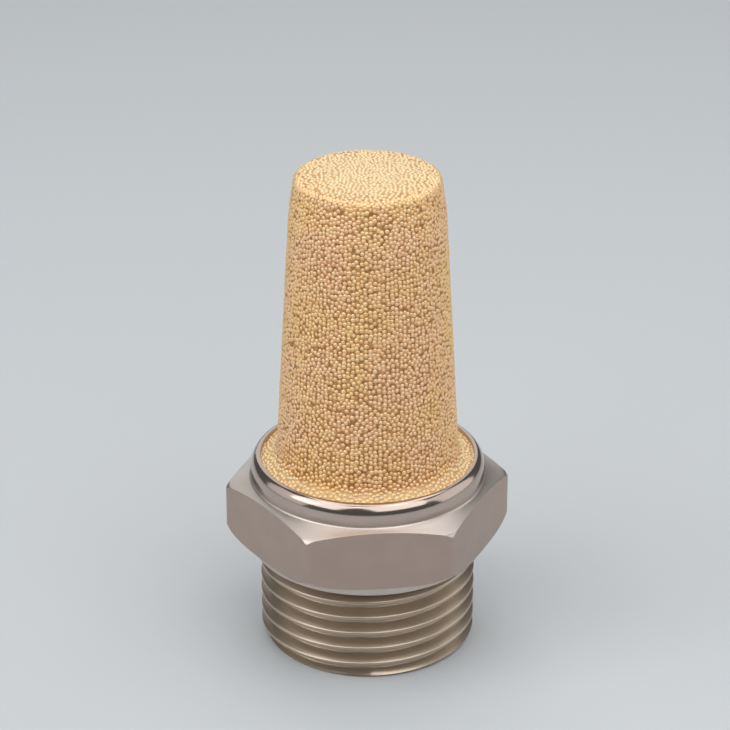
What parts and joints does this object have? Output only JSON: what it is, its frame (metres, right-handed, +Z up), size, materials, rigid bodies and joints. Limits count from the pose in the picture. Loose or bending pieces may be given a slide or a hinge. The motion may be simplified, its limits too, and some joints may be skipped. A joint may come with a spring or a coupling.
{
  "type": "sintered bronze pneumatic muffler",
  "caption": "Exhaust muffler: a tapered porous bronze cup held by a rolled lip in a plated hexagonal body with a male pipe thread.",
  "frame": {"origin": "centre of the threaded end face, the lowest point of the part", "axes": "+Z up the axis from the threaded end to the crown, two flats of the hexagon face -Y and +Y"},
  "size_m": [0.0218, 0.019, 0.0384],
  "materials": {
    "nickel_plate": "satin nickel plate over turned brass",
    "sintered_bronze": "porous sintered bronze beads, unfinished"
  },
  "bodies": {
    "root": {"threaded_body": "nickel_plate", "sintered_element": "sintered_bronze"}
  },
  "joints": []
}
